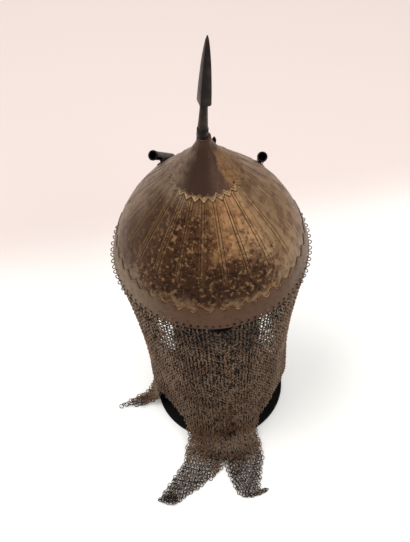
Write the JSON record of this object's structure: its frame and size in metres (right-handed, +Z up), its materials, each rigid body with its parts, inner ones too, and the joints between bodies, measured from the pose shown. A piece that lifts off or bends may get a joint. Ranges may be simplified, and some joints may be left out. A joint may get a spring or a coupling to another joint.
{
  "type": "kulah khud helmet on a display stand",
  "caption": "Pointed iron helmet with a leaning spike, scalloped rim band, plume tubes, sliding nose guard and a dagged mail curtain, resting on a plain black disc stand.",
  "frame": {"origin": "on the floor under the middle of the stand's disc", "axes": "+Z up along the helmet's axis; the back of the helmet faces -Y, the face opening faces +Y and +X is to the right seen from behind"},
  "size_m": [0.2351, 0.2746, 0.5573],
  "materials": {
    "bowl_iron": "browned iron with golden rust and dark pits",
    "band_iron": "taupe grey iron with rust along the scalloped edge",
    "crown_iron": "smooth dark purplish brown iron",
    "dark_iron": "dark satin iron",
    "mail_iron": "dull grey brown iron rings",
    "stand_black": "matt black paint"
  },
  "bodies": {
    "helmet": {"bowl": "bowl_iron", "rim_band": "band_iron", "crown_plate": "crown_iron", "crown_cap": "crown_iron", "spike": "dark_iron", "plume_tube_left": "dark_iron", "plume_tube_right": "dark_iron", "nasal_bracket": "dark_iron", "mail": "mail_iron", "stand": "stand_black"},
    "nasal": {"nasal_bar": "dark_iron"}
  },
  "joints": [
    {"name": "nasal_slide", "type": "slide", "parent": "helmet", "child": "nasal", "axis": [0.1045, 0, 0.9945], "range_m": [-0.005, 0.104]}
  ]
}
